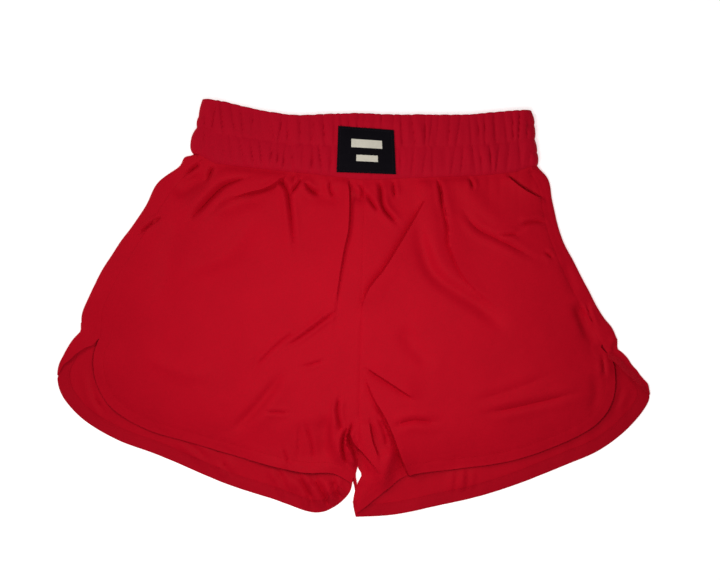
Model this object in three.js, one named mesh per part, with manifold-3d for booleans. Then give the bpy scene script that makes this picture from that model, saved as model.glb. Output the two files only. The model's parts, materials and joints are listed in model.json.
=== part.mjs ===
// Women's boxing shorts, lying flat with the front up.
// Millimetres, +Z up, +Y towards the waistband. The shorts rest on the plane z = 0.
// "Left" and "right" are the wearer's, so the right half lies on the -X side.
// The two halves meet on one straight fold line, and every piece stays clear of it,
// apart from the label, which is sewn across it.
import * as THREE from 'three';
import { mergeVertices } from 'three/addons/utils/BufferGeometryUtils.js';
import Module from 'manifold-3d';

// ---- driving dimensions -------------------------------------------------------------

const CLOTH = 1.0;          // a panel, with the height of its small creases
const TRIM = 0.8;           // hem facings and casing plies
const THREAD = 0.5;         // a row of stitches, and the overlocked seam edges
const GAP = 0.3;            // clearance between pieces that touch in the real shorts
const FRONT_UNDERSIDE = 9.5;    // height of the front cloth's inner face
const FOLD_CLEARANCE = 0.4;     // from each half's cut edge to the fold line

// The fold line passes through the middle of the waist seam and the crotch.
const WAIST_MIDDLE = [9.5, 118];
const CROTCH = [4, -150];

const BAND = {
  elasticThickness: 1.2,
  backMiddle: 1.7,          // height of the back band's middle surface
  frontMiddle: 10.6,        // height of the front band's middle surface
  plyOffset: 1.3,           // from the middle surface to the middle of each ply
  waistSeam: [0.012, 0.04], // rows as shares of the band's height, from its lower edge
  lowerElastic: [0.055, 0.475],
  middleStitch: [0.49, 0.51],
  upperElastic: [0.525, 0.945],
};

const HEM = {
  facing: [1, 11.5],        // from the hem edge to the facing's two edges
  stitch: [9.2, 10.0],
  ends: 4,                  // the facing stops this far from a vent or an inseam
};

const SEAM = { width: 3, inset: 0.6, stop: 14 };
const INSEAM = [0.8, 1.8];  // from the inner leg edge to the two faces of the seam

const LABEL = {
  corners: [[-15.5, 125], [39, 123], [37, 163.5], [-14, 167.5]],
  thickness: 0.6,
  stitchInset: 2,
  stitchWidth: 0.7,
  stitchThickness: 0.3,
};

const CARE_LABEL = { x: 150, y: 70, width: 20, length: 45, thickness: 0.3 };

// Outlines in plan, each half from the fold line outwards or from the top down.
const HALVES = {
  right: {
    sign: -1,
    waist: [[-40, 124], [-90, 129], [-129, 134], [-149, 142]],
    bandTop: [[-25, 179], [-56, 178], [-90, 183.5], [-120, 190.5], [-140, 193]],
    side: [[-149, 141], [-173, 119], [-204, 77], [-235, 31], [-249, 2], [-252, -15]],
    sideReturn: [9, 19],
    frontHem: [[-240, -44], [-237, -70], [-222, -93], [-190, -112], [-146, -125],
      [-91, -141], [-48, -151], [-20, -152], [-1.5, -162]],
    frontInner: [[1, -156]],
    vent: [[-258, -27], [-266, -39]],
    backHem: [[-274, -58], [-270, -80], [-250, -103], [-218, -122], [-180, -136],
      [-119, -162], [-76, -176], [-36, -189], [-14, -181], [-3, -169]],
    backInner: [[-0.5, -160]],
  },
  left: {
    sign: 1,
    waist: [[39, 119.5], [76, 121], [105, 122], [145, 125], [170.5, 131]],
    bandTop: [[30, 178.5], [74, 178.5], [105, 178.5], [137, 181.5], [164, 182.5]],
    side: [[170.5, 130], [180, 114], [186, 87], [196, 58], [217, 17], [241, -23]],
    sideReturn: [9, 15],
    frontHem: [[240, -50], [240, -82], [224, -107], [188, -126.5], [144, -141],
      [96, -148], [51, -154], [30, -168], [3, -190]],
    frontInner: [[-0.5, -179], [2, -166], [6, -156]],
    vent: [[244, -36], [257, -50]],
    backHem: [[273, -72], [272, -88], [254, -111], [228, -131], [196, -145], [156, -161],
      [116, -174], [76, -183], [37, -191], [3, -193]],
    backInner: [[-0.5, -180], [2, -166], [6, -156]],
  },
};

const MATERIALS = {
  panel: { color: 0xb20e1f, roughness: 0.62 },
  band: { color: 0xa30c1f, roughness: 0.66 },
  inside: { color: 0x9a0b1b, roughness: 0.7 },
  thread: { color: 0x8e0a19, roughness: 0.6 },
  elastic: { color: 0xe9e6df, roughness: 0.85 },
  label: { color: 0x110e14, roughness: 0.7 },
  care: { color: 0xf1efea, roughness: 0.55 },
};

// ---- curves and outlines --------------------------------------------------------------

const wasm = await Module();
wasm.setup();

// A point on the fold line at height y, moved clear of it onto one half's side.
function centre(y, sign, inset = FOLD_CLEARANCE) {
  const slope = (WAIST_MIDDLE[0] - CROTCH[0]) / (WAIST_MIDDLE[1] - CROTCH[1]);
  return [CROTCH[0] + slope * (y - CROTCH[1]) + sign * inset, y];
}

function spline(points) {
  return new THREE.SplineCurve(points.map(([x, y]) => new THREE.Vector2(x, y)));
}

function smooth(points, steps) {
  return spline(points).getSpacedPoints(steps);
}

// The points of a curve between two distances along it.
function stretch(points, from, to, steps) {
  const curve = spline(points);
  const length = curve.getLength();
  const made = [];
  for (let i = 0; i <= steps; i += 1) {
    const along = from + ((length - from - to) * i) / steps;
    made.push(curve.getPointAt(along / length));
  }
  return made;
}

// The curve moved sideways, to the left of its own direction where distance is positive.
function offset(points, distance) {
  return points.map((point, i) => {
    const before = points[Math.max(i - 1, 0)];
    const after = points[Math.min(i + 1, points.length - 1)];
    const along = after.clone().sub(before).normalize();
    const away = typeof distance === 'function' ? distance(i / (points.length - 1)) : distance;
    return new THREE.Vector2(point.x - along.y * away, point.y + along.x * away);
  });
}

// The outline of a band between two offsets of one curve.
function strip(points, near, far) {
  return [...offset(points, near), ...offset(points, far).reverse()];
}

// The side seam lies inside the folded side by a width that grows towards the vent.
function sideLines(half) {
  const side = smooth(half.side, 14);
  const [top, bottom] = half.sideReturn;
  const inwards = half.sign > 0 ? -1 : 1;
  const width = (share) => top + (bottom - top) * share;
  return {
    side,
    inwards,
    seam: offset(side, (share) => inwards * width(share)),
    seamAt: (extra) => offset(side, (share) => inwards * (width(share) + extra)),
    foldAt: (distance) => offset(side, inwards * distance),
  };
}

function waistLine(half) {
  const start = centre(WAIST_MIDDLE[1], half.sign);
  return [start, ...half.waist];
}

function frontHemLine(half) {
  const last = sideLines(half).seam.at(-1);
  return [[last.x, last.y - 6], ...half.frontHem];
}

function backHemLine(half) {
  return [...half.vent, ...half.backHem];
}

// ---- solids ---------------------------------------------------------------------------

function plate(outline, underside, thickness, hole) {
  const shape = new THREE.Shape(outline);
  if (hole) shape.holes.push(new THREE.Path(hole));
  const geometry = new THREE.ExtrudeGeometry(shape, { depth: thickness, bevelEnabled: false });
  return geometry.translate(0, 0, underside);
}

// A closed solid of one thickness around a grid of points, grid[i][j].
function sheet(grid, thickness) {
  const rows = grid.length;
  const columns = grid[0].length;
  const positions = [];
  const normals = grid.map((row, i) => row.map((_, j) => {
    const alongI = grid[Math.min(i + 1, rows - 1)][j].clone().sub(grid[Math.max(i - 1, 0)][j]);
    const alongJ = row[Math.min(j + 1, columns - 1)].clone().sub(row[Math.max(j - 1, 0)]);
    return alongI.cross(alongJ).normalize();
  }));
  for (const side of [0.5, -0.5]) {
    grid.forEach((row, i) => row.forEach((point, j) => {
      const moved = point.clone().addScaledVector(normals[i][j], side * thickness);
      positions.push(moved.x, moved.y, moved.z);
    }));
  }
  const top = (i, j) => i * columns + j;
  const under = (i, j) => rows * columns + i * columns + j;
  const triangles = [];
  const quad = (a, b, c, d) => triangles.push(a, b, c, a, c, d);
  for (let i = 0; i < rows - 1; i += 1) {
    for (let j = 0; j < columns - 1; j += 1) {
      quad(top(i, j), top(i + 1, j), top(i + 1, j + 1), top(i, j + 1));
      quad(under(i, j), under(i, j + 1), under(i + 1, j + 1), under(i + 1, j));
    }
    quad(top(i, 0), under(i, 0), under(i + 1, 0), top(i + 1, 0));
    const last = columns - 1;
    quad(top(i, last), top(i + 1, last), under(i + 1, last), under(i, last));
  }
  for (let j = 0; j < columns - 1; j += 1) {
    quad(top(0, j), top(0, j + 1), under(0, j + 1), under(0, j));
    const last = rows - 1;
    quad(top(last, j), under(last, j), under(last, j + 1), top(last, j + 1));
  }
  const geometry = new THREE.BufferGeometry();
  geometry.setAttribute('position', new THREE.Float32BufferAttribute(positions, 3));
  geometry.setIndex(triangles);
  return geometry;
}

// Turns a sheet's faces outwards where its grid runs the other way round.
function facingOut(geometry) {
  if (toSolid(geometry).volume() > 0) return geometry;
  const index = geometry.getIndex().array;
  for (let i = 0; i < index.length; i += 3) [index[i], index[i + 1]] = [index[i + 1], index[i]];
  return geometry;
}

function toSolid(geometry) {
  const bare = geometry.clone();
  bare.deleteAttribute('normal');
  bare.deleteAttribute('uv');
  const merged = mergeVertices(bare, 1e-4);
  return new wasm.Manifold(new wasm.Mesh({
    numProp: 3,
    vertProperties: new Float32Array(merged.getAttribute('position').array),
    triVerts: new Uint32Array(merged.getIndex().array),
  }));
}

function joined(first, second) {
  const made = toSolid(first).add(toSolid(second)).getMesh();
  const geometry = new THREE.BufferGeometry();
  geometry.setAttribute('position', new THREE.BufferAttribute(made.vertProperties, 3));
  geometry.setIndex(new THREE.BufferAttribute(made.triVerts, 1));
  return geometry;
}

function named(name, geometry, look) {
  const material = new THREE.MeshStandardMaterial({ metalness: 0, ...MATERIALS[look] });
  const mesh = new THREE.Mesh(geometry, material);
  mesh.name = name;
  return mesh;
}

// ---- body panels ----------------------------------------------------------------------

function frontPanel(half) {
  const lines = sideLines(half);
  const waist = smooth(waistLine(half).map(([x, y]) => [x, y - CLOTH / 2]), 12);
  const top = waist.filter((p) => half.sign * (lines.seamAt(GAP)[0].x - p.x) > 1);
  const outline = [
    ...top,
    ...lines.seamAt(GAP),
    ...smooth(frontHemLine(half), 32),
    ...half.frontInner.map(([x, y]) => new THREE.Vector2(x, y)),
    new THREE.Vector2(...centre(CROTCH[1], half.sign)),
  ];
  return plate(outline, FRONT_UNDERSIDE, CLOTH);
}

// The back cloth on the floor, and its return round the folded side to the side seam.
function backPanel(half) {
  const lines = sideLines(half);
  const radius = FRONT_UNDERSIDE / 2;
  const flatFrom = radius + CLOTH / 2;
  const runIn = 3;
  const fold = lines.foldAt(flatFrom);
  const waist = smooth(waistLine(half).map(([x, y]) => [x, y - CLOTH / 2]), 12);
  const floor = plate([
    ...waist.filter((p) => half.sign * (fold[0].x - p.x) > 1),
    ...fold,
    ...smooth(backHemLine(half), 36),
    ...half.backInner.map(([x, y]) => new THREE.Vector2(x, y)),
    new THREE.Vector2(...centre(CROTCH[1], half.sign)),
  ], 0, CLOTH);

  const turns = 6;
  const inner = lines.foldAt(flatFrom + runIn);
  const seam = lines.seamAt(0);
  const grid = lines.side.map((_, i) => {
    const out = fold[i].clone().sub(inner[i]).normalize();
    const row = [new THREE.Vector3(inner[i].x, inner[i].y, CLOTH / 2)];
    for (let k = 0; k <= turns; k += 1) {
      const angle = (Math.PI * k) / turns;
      const reach = radius * Math.sin(angle);
      row.push(new THREE.Vector3(
        fold[i].x + out.x * reach,
        fold[i].y + out.y * reach,
        CLOTH / 2 + radius * (1 - Math.cos(angle)),
      ));
    }
    row.push(new THREE.Vector3(seam[i].x, seam[i].y, CLOTH / 2 + 2 * radius));
    return row;
  });
  return joined(floor, facingOut(sheet(grid, CLOTH)));
}

// ---- seams, hems and their threads ------------------------------------------------------

function sideSeam(half) {
  const lines = sideLines(half);
  const near = lines.seamAt(0.5).map((p) => [p.x, p.y]);
  const kept = stretch(near, 2, SEAM.stop, 14);
  const outline = strip(kept, 0, lines.inwards * SEAM.width);
  return plate(outline, FRONT_UNDERSIDE - GAP - THREAD, THREAD);
}

// The overlocked edge of a centre seam, pressed towards the wearer's left.
function centreSeam(underside) {
  const ends = [WAIST_MIDDLE[1] - 2, CROTCH[1] + 4];
  const near = ends.map((y) => new THREE.Vector2(...centre(y, 1, SEAM.inset)));
  const far = ends.map((y) => new THREE.Vector2(...centre(y, 1, SEAM.inset + SEAM.width)));
  return plate([...near, ...far.reverse()], underside, THREAD);
}

function inseam(half) {
  const inner = [half.backHem.at(-1), ...half.backInner, centre(CROTCH[1], half.sign)];
  const kept = stretch(inner, 5, 2, 8);
  const outline = strip(kept, half.sign * -INSEAM[0], half.sign * -INSEAM[1]);
  const low = CLOTH + TRIM + THREAD + 3 * GAP;
  const high = FRONT_UNDERSIDE - TRIM - 2 * GAP;
  return plate(outline, low, high - low);
}

function hemStrip(line, half, [near, far], underside, thickness) {
  const kept = stretch(line, HEM.ends, HEM.ends, 26);
  const inwards = half.sign > 0 ? -1 : 1;
  return plate(strip(kept, inwards * near, inwards * far), underside, thickness);
}

// ---- waistband --------------------------------------------------------------------------

// Stations round half of the flattened waist: along the front, round the side and back.
// Each holds its place along the band's outline, how far it bulges past it, and its height.
function stations(away) {
  const along = 9;
  const turns = 6;
  const radius = (BAND.frontMiddle - BAND.backMiddle) / 2;
  const middle = (BAND.frontMiddle + BAND.backMiddle) / 2;
  const made = [];
  for (let i = 0; i < along; i += 1) {
    made.push({ share: i / along, bulge: 0, z: middle + radius + away });
  }
  for (let k = 0; k <= turns; k += 1) {
    const angle = (Math.PI * k) / turns;
    const reach = radius + away;
    made.push({ share: 1, bulge: reach * Math.sin(angle), z: middle + reach * Math.cos(angle) });
  }
  for (let i = along - 1; i >= 0; i -= 1) {
    made.push({ share: i / along, bulge: 0, z: middle - radius - away });
  }
  return made;
}

// The band's middle surface: row is the share of its height, away the distance outwards,
// and rise a further step up past its upper edge.
function bandPoints(half, row, away, rise = 0) {
  const radius = (BAND.frontMiddle - BAND.backMiddle) / 2;
  const reach = radius + BAND.plyOffset + TRIM / 2;
  const inset = ([x, y], i, all) => (i === all.length - 1 ? [x - half.sign * reach, y] : [x, y]);
  const lower = spline([...waistLine(half)].map(inset));
  const upper = spline([centre(180, half.sign), ...half.bandTop].map(inset));
  const drop = BAND.plyOffset + TRIM / 2;
  return stations(away).map(({ share, bulge, z }) => {
    const low = lower.getPointAt(share);
    const high = upper.getPointAt(share).setY(upper.getPointAt(share).y - drop);
    const place = low.lerp(high, row);
    return new THREE.Vector3(place.x + half.sign * bulge, place.y + rise, z);
  });
}

// One strip of cloth folded over at the top, with an open lower edge.
function casing(half) {
  const reach = BAND.plyOffset;
  const bends = 4;
  const lines = [0, 0.5, 1].map((row) => bandPoints(half, row, reach));
  for (let k = 1; k < bends; k += 1) {
    const angle = (Math.PI * k) / bends;
    lines.push(bandPoints(half, 1, reach * Math.cos(angle), reach * Math.sin(angle)));
  }
  lines.push(...[1, 0.5, 0].map((row) => bandPoints(half, row, -reach)));
  return facingOut(sheet(lines, TRIM));
}

function bandRing(half, [low, high], thickness) {
  return facingOut(sheet([bandPoints(half, low, 0), bandPoints(half, high, 0)], thickness));
}

// ---- labels -----------------------------------------------------------------------------

function towardsMiddle(corners, distance) {
  const middle = new THREE.Vector2();
  corners.forEach((c) => middle.add(c));
  middle.divideScalar(corners.length);
  return corners.map((c) => new THREE.Vector2(
    c.x + Math.sign(middle.x - c.x) * distance,
    c.y + Math.sign(middle.y - c.y) * distance,
  ));
}

const bandTopSurface = BAND.frontMiddle + BAND.plyOffset + TRIM / 2;
const labelUnderside = bandTopSurface + GAP;
const labelCorners = LABEL.corners.map(([x, y]) => new THREE.Vector2(x, y));

function frontLabel() {
  return plate(labelCorners, labelUnderside, LABEL.thickness);
}

function labelStitching() {
  const outer = towardsMiddle(labelCorners, LABEL.stitchInset);
  const inner = towardsMiddle(labelCorners, LABEL.stitchInset + LABEL.stitchWidth);
  const underside = labelUnderside + LABEL.thickness + GAP;
  return plate(outer, underside, LABEL.stitchThickness, inner.reverse());
}

function careLabel() {
  const { x, y, width, length, thickness } = CARE_LABEL;
  const corners = [[x, y], [x + width, y], [x + width, y + length], [x, y + length]];
  return plate(corners.map((c) => new THREE.Vector2(...c)), CLOTH + GAP, thickness);
}

// ---- assembly ---------------------------------------------------------------------------

function halfOfShorts(side) {
  const half = HALVES[side];
  const frontHem = frontHemLine(half);
  const backHem = backHemLine(half);
  const frontFacing = FRONT_UNDERSIDE - GAP - TRIM;
  const backFacing = CLOTH + GAP;
  const group = new THREE.Group();
  group.add(
    named(`${side}_front_panel`, frontPanel(half), 'panel'),
    named(`${side}_back_panel`, backPanel(half), 'panel'),
    named(`${side}_side_seam`, sideSeam(half), 'thread'),
    named(`${side}_inseam`, inseam(half), 'thread'),
    named(`${side}_front_hem_facing`,
      hemStrip(frontHem, half, HEM.facing, frontFacing, TRIM), 'inside'),
    named(`${side}_back_hem_facing`,
      hemStrip(backHem, half, HEM.facing, backFacing, TRIM), 'inside'),
    named(`${side}_front_hem_stitching`,
      hemStrip(frontHem, half, HEM.stitch, FRONT_UNDERSIDE + CLOTH + GAP, THREAD), 'thread'),
    named(`${side}_back_hem_stitching`,
      hemStrip(backHem, half, HEM.stitch, backFacing + TRIM + GAP, THREAD), 'thread'),
    named(`${side}_waistband_casing`, casing(half), 'band'),
    named(`${side}_upper_elastic`,
      bandRing(half, BAND.upperElastic, BAND.elasticThickness), 'elastic'),
    named(`${side}_lower_elastic`,
      bandRing(half, BAND.lowerElastic, BAND.elasticThickness), 'elastic'),
    named(`${side}_band_middle_stitching`, bandRing(half, BAND.middleStitch, THREAD), 'thread'),
    named(`${side}_waist_seam`, bandRing(half, BAND.waistSeam, THREAD), 'thread'),
  );
  return group;
}

const rightHalf = halfOfShorts('right');
const leftHalf = halfOfShorts('left');
leftHalf.add(
  named('centre_front_seam', centreSeam(FRONT_UNDERSIDE - GAP - THREAD), 'thread'),
  named('centre_back_seam', centreSeam(CLOTH + GAP), 'thread'),
  named('front_label', frontLabel(), 'label'),
  named('label_stitching', labelStitching(), 'thread'),
  named('care_label', careLabel(), 'care'),
);

const shorts = new THREE.Group();
shorts.add(rightHalf, leftHalf);

// The origin is the middle of the outline in plan, on the surface the shorts lie on.
const box = new THREE.Box3().setFromObject(shorts);
const middle = box.getCenter(new THREE.Vector3());
shorts.position.set(-middle.x, -middle.y, -box.min.z);

export default shorts;
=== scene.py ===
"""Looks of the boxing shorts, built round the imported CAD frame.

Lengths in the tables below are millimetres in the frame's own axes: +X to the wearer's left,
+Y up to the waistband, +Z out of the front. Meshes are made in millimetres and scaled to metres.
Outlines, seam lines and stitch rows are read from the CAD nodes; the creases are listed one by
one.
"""

import json
import math
import random

import bpy
import numpy as np
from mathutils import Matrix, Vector, noise
from mathutils.geometry import delaunay_2d_cdt


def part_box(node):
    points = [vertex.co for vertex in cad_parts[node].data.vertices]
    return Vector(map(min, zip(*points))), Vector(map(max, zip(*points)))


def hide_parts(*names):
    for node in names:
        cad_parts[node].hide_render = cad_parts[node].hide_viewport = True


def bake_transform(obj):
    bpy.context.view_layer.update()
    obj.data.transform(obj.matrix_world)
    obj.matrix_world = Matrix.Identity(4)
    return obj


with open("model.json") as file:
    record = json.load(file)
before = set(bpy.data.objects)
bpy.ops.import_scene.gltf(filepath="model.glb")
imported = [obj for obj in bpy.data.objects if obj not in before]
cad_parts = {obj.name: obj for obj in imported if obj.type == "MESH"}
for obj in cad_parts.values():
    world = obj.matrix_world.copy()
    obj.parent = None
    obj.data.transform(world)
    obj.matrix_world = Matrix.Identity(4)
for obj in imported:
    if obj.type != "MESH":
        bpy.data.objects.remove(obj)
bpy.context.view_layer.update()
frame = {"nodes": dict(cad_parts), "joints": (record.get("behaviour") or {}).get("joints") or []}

MM = 0.001
SEED = 7

CLOTH_THICKNESS = 0.32
FINE_STEP = 2.0  # spacing of the front cloth's points
COARSE_STEP = 3.2  # spacing of the back cloth's points

# ---------------------------------------------------------------- camera, light and floor

CAMERA_HEIGHT = 1250.0
CAMERA_AIM = (6.0, 17.0)
PICTURE_WIDTH = 667.0  # how much of the floor the picture's width takes in


def add_camera():
    data = bpy.data.cameras.new("camera")
    data.sensor_width = 36.0
    data.lens = data.sensor_width * CAMERA_HEIGHT / PICTURE_WIDTH
    camera = bpy.data.objects.new("camera", data)
    camera.location = (CAMERA_AIM[0] * MM, CAMERA_AIM[1] * MM, CAMERA_HEIGHT * MM)
    bpy.context.scene.collection.objects.link(camera)
    bpy.context.scene.camera = camera


def add_area_light(name, place, size, power, colour):
    data = bpy.data.lights.new(name, "AREA")
    data.shape = "DISK"
    data.size = size
    data.energy = power
    data.color = colour
    light = bpy.data.objects.new(name, data)
    light.location = place
    light.rotation_euler = (-Vector(place)).to_track_quat("-Z", "Y").to_euler()
    bpy.context.scene.collection.objects.link(light)


def add_studio():
    scene = bpy.context.scene
    scene.view_settings.view_transform = "Standard"
    world = bpy.data.worlds.new("studio")
    world.use_nodes = True
    background = world.node_tree.nodes["Background"]
    background.inputs["Color"].default_value = (1.0, 0.99, 0.98, 1.0)
    background.inputs["Strength"].default_value = 0.29
    scene.world = world
    add_area_light("overhead", (-0.01, -0.03, 0.40), 0.28, 1.16, (1.0, 1.0, 1.0))
    add_area_light("key", (-0.95, 0.45, 0.75), 0.40, 3.4, (1.0, 0.98, 0.97))

    bpy.ops.mesh.primitive_plane_add(size=6.0, location=(0, 0, -0.0002))
    floor = bpy.context.object
    floor.name = "floor"
    material = bpy.data.materials.new("floor")
    material.use_nodes = True
    shader = material.node_tree.nodes["Principled BSDF"]
    shader.inputs["Base Color"].default_value = (0.93, 0.93, 0.93, 1)
    shader.inputs["Roughness"].default_value = 0.9
    shader.inputs["Emission Color"].default_value = (1, 1, 1, 1)
    shader.inputs["Emission Strength"].default_value = 0.55
    floor.data.materials.append(material)


# ---------------------------------------------------------------- reading the CAD frame


def rim(node, up=1):
    """The ordered outline, in plan, of a node's flat top, or of its flat underside."""
    height = top_of(node) if up > 0 else bottom_of(node)
    mesh = frame["nodes"][node].data
    corners = np.array([v.co for v in mesh.vertices]) / MM
    known = {}
    ids = [known.setdefault(tuple(np.round(p, 2)), len(known)) for p in corners]
    points = np.array(list(known))
    sides = set()
    for face in mesh.polygons:
        if face.normal.z * up < 0.99 or abs(corners[face.vertices[0]][2] - height) > 0.06:
            continue
        ring = [ids[i] for i in face.vertices]
        sides.update(zip(ring, ring[1:] + ring[:1]))
    following = {a: b for a, b in sides if (b, a) not in sides}
    loops = []
    while following:
        at, loop = next(iter(following)), []
        while at in following:
            loop.append(at)
            at = following.pop(at)
        loops.append(loop)
    return points[max(loops, key=len)][:, :2]


def top_of(node):
    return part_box(node)[1].z / MM


def bottom_of(node):
    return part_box(node)[0].z / MM


def spine(node):
    """The middle line of a narrow plate, between its two short ends."""
    ring = rim(node)
    first, second = sorted(np.argsort(step_lengths(closed(ring)))[:2])
    ring = np.roll(ring, -(first + 1), 0)
    count = second - first
    return (ring[:count] + ring[count : 2 * count][::-1]) / 2


# ---------------------------------------------------------------- plane geometry

CURVE_POINTS = 24  # points on a curve for each stretch between two given ones


def step_lengths(line):
    return np.linalg.norm(np.diff(line, axis=0), axis=1)


def unit(vectors):
    return vectors / np.linalg.norm(vectors, axis=1)[:, None]


def closed(ring):
    return np.vstack([ring, ring[:1]])


def bell(away, width):
    """1 in the middle, and nothing a few widths away."""
    return np.exp(-((away / width) ** 2))


def eased(share):
    """From 0 to 1, with a level start and end."""
    share = np.clip(share, 0, 1)
    return share * share * (3 - 2 * share)


def smooth_line(points, step):
    """Points at about that spacing on a Catmull-Rom curve through the given ones."""
    p = np.asarray(points, float)
    if len(p) == 2:
        count = max(2, int(np.linalg.norm(p[1] - p[0]) / step) + 1)
        return p[0] + (p[1] - p[0]) * np.linspace(0, 1, count)[:, None]
    padded = np.vstack([2 * p[0] - p[1], p, 2 * p[-1] - p[-2]])
    t = np.linspace(0, 1, CURVE_POINTS, endpoint=False)[:, None]
    made = []
    for a, b, c, d in zip(padded, padded[1:], padded[2:], padded[3:]):
        made.append(0.5 * (2 * b + (c - a) * t + (2 * a - 5 * b + 4 * c - d) * t**2
                           + (3 * b - a - 3 * c + d) * t**3))
    return spaced(np.vstack([*made, p[-1:]]), step)


def spaced(line, step):
    """The same line with points at an even spacing of about step."""
    along = np.concatenate([[0], np.cumsum(step_lengths(line))])
    count = max(2, int(round(along[-1] / step)) + 1)
    at = np.linspace(0, along[-1], count)
    return np.stack([np.interp(at, along, line[:, k]) for k in range(line.shape[1])], 1)


def off_line(points, line):
    """For each point: its distance from the line, positive to the left of the line's
    direction, and how far along the line its nearest point is, from 0 to 1."""
    starts, ends = line[:-1], line[1:]
    steps = ends - starts
    lengths = step_lengths(line)
    before = np.concatenate([[0], np.cumsum(lengths)[:-1]])
    best = np.full(len(points), 1e9)
    signed = np.zeros(len(points))
    along = np.zeros(len(points))
    for start, step, length, done in zip(starts, steps, lengths, before):
        away = points - start
        share = np.clip(away @ step / length**2, 0, 1)
        rest = away - share[:, None] * step
        distance = np.hypot(rest[:, 0], rest[:, 1])
        closer = distance < best
        side = np.sign(step[0] * away[:, 1] - step[1] * away[:, 0])
        best = np.where(closer, distance, best)
        signed = np.where(closer, distance * side, signed)
        along = np.where(closer, done + share * length, along)
    return signed, along / lengths.sum()


def away_from(points, line):
    return np.abs(off_line(points, line)[0])


def near_first(ring, line, reach):
    """The outline turned to start where it comes near a line, and which of its points are."""
    near = away_from(ring, line) < reach
    start = np.where(near & ~np.roll(near, 1))[0][0]
    return np.roll(ring, -start, 0), np.roll(near, -start)


def inside(points, ring):
    """Which points lie inside a closed outline."""
    x, y = points[:, 0], points[:, 1]
    found = np.zeros(len(points), bool)
    for (ax, ay), (bx, by) in zip(ring, np.roll(ring, -1, 0)):
        if ay == by:
            continue
        crosses = (ay > y) != (by > y)
        found ^= crosses & (x < ax + (y - ay) * (bx - ax) / (by - ay))
    return found


# How close the filling comes to the border, and a row to it, in steps; then a row to
# another row and the filling to a row, in millimetres.
FILL_GAP, ROW_GAP, BETWEEN_ROWS, ROW_MARGIN = 0.55, 0.4, 0.5, 0.8


def fill(border, step, lines=()):
    """Points and triangles over an outline whose own points are kept. Extra lines get rows
    of points of their own, so that a sharp crease runs along the edges of triangles."""
    low, high = border.min(0), border.max(0)
    rows = np.arange(low[1], high[1], step * math.sqrt(3) / 2)
    grid = []
    for k, y in enumerate(rows):
        x = np.arange(low[0] + (k % 2) * step / 2, high[0], step)
        grid.append(np.stack([x, np.full(len(x), y)], 1))
    grid = np.vstack(grid)
    grid = grid[inside(grid, border)]
    edge = closed(border)
    grid = grid[away_from(grid, edge) > step * FILL_GAP]
    extra = np.zeros((0, 2))
    for line in lines:
        line = line[inside(line, border)]
        if len(line) < 2:
            continue
        line = line[away_from(line, edge) > step * ROW_GAP]
        if len(extra) and len(line):
            gaps = np.linalg.norm(line[:, None] - extra[None], axis=2).min(1)
            line = line[gaps > BETWEEN_ROWS]
        extra = np.vstack([extra, line])
        if len(line) > 1:
            grid = grid[away_from(grid, line) > ROW_MARGIN]
    points = np.vstack([border, extra, grid])
    count = len(border)
    edges = [(i, (i + 1) % count) for i in range(count)]
    made = delaunay_2d_cdt([Vector(p) for p in points], edges, [], 1, 1e-4)
    return np.array([v[:] for v in made[0]]), [tuple(f) for f in made[2]]


# ---------------------------------------------------------------- meshes


def vertex_normals(points, faces):
    normals = np.zeros_like(points)
    for face in faces:
        a, b, c = points[face[0]], points[face[1]], points[face[-1]]
        normals[list(face)] += np.cross(b - a, c - a)
    return normals / np.maximum(np.linalg.norm(normals, axis=1), 1e-9)[:, None]


def thicken(points, faces, thickness):
    """The sheet with a second layer under it, and its open edges closed."""
    count = len(points)
    under = points - vertex_normals(points, faces) * thickness
    sides = {(a, b) for f in faces for a, b in zip(f, f[1:] + f[:1])}
    made = list(faces) + [tuple(i + count for i in reversed(f)) for f in faces]
    for a, b in sides:
        if (b, a) not in sides:
            made.append((b, a, a + count, b + count))
    return np.vstack([points, under]), made


def grid_faces(rows, columns, round_again=False):
    """The faces of a grid of points, whose last column may join its first."""
    return [
        (i * columns + j, i * columns + k, (i + 1) * columns + k, (i + 1) * columns + j)
        for i in range(rows - 1)
        for j, k in zip(range(columns), [*range(1, columns), *[0] * round_again])
    ]


SHARP_ANGLE = math.radians(55)
UV_SCALE = 100.0  # millimetres of cloth in one unit of the materials' place


def add_mesh(name, points, faces, material, uv=None):
    mesh = bpy.data.meshes.new(name)
    mesh.from_pydata((np.asarray(points) * MM).tolist(), [], [list(f) for f in faces])
    mesh.polygons.foreach_set("use_smooth", [True] * len(mesh.polygons))
    layer = mesh.uv_layers.new(name="cloth")
    flat = np.asarray(points)[:, :2] if uv is None else np.asarray(uv)
    loops = np.zeros(len(mesh.loops), int)
    mesh.loops.foreach_get("vertex_index", loops)
    layer.data.foreach_set("uv", (flat[loops] / UV_SCALE).ravel())
    mesh.materials.append(material)
    mesh.validate()
    mesh.set_sharp_from_angle(angle=SHARP_ANGLE)
    piece = bpy.data.objects.new(name, mesh)
    bpy.context.scene.collection.objects.link(piece)
    return piece


def fold_line():
    """A point on the fold line, and the way across it to the wearer's left, in plan."""
    joint = frame["joints"][0]
    x, y, _ = joint["axis"]
    return np.array(joint["pos_m"][:2]) / MM, np.array([y, -x])


def past_fold(points):
    """How far points lie from the fold line, positive on the wearer's left."""
    middle, across = fold_line()
    return (points - middle) @ across


def settle(piece, slot, *nodes):
    """The piece bends with the fold, stands for its CAD nodes and takes its slot's finish."""
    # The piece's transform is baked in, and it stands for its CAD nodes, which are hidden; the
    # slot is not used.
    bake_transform(piece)
    if nodes:
        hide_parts(*nodes)
    return piece


def add_sheet(name, points, faces, thickness, finish, *nodes, uv=None):
    """A sheet of cloth of that thickness; a finish is a material and the record's slot."""
    points, faces = thicken(points, faces, thickness)
    return settle(add_mesh(name, points, faces, finish[0], uv), finish[1], *nodes)


# ---------------------------------------------------------------- creases of the front cloth

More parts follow.
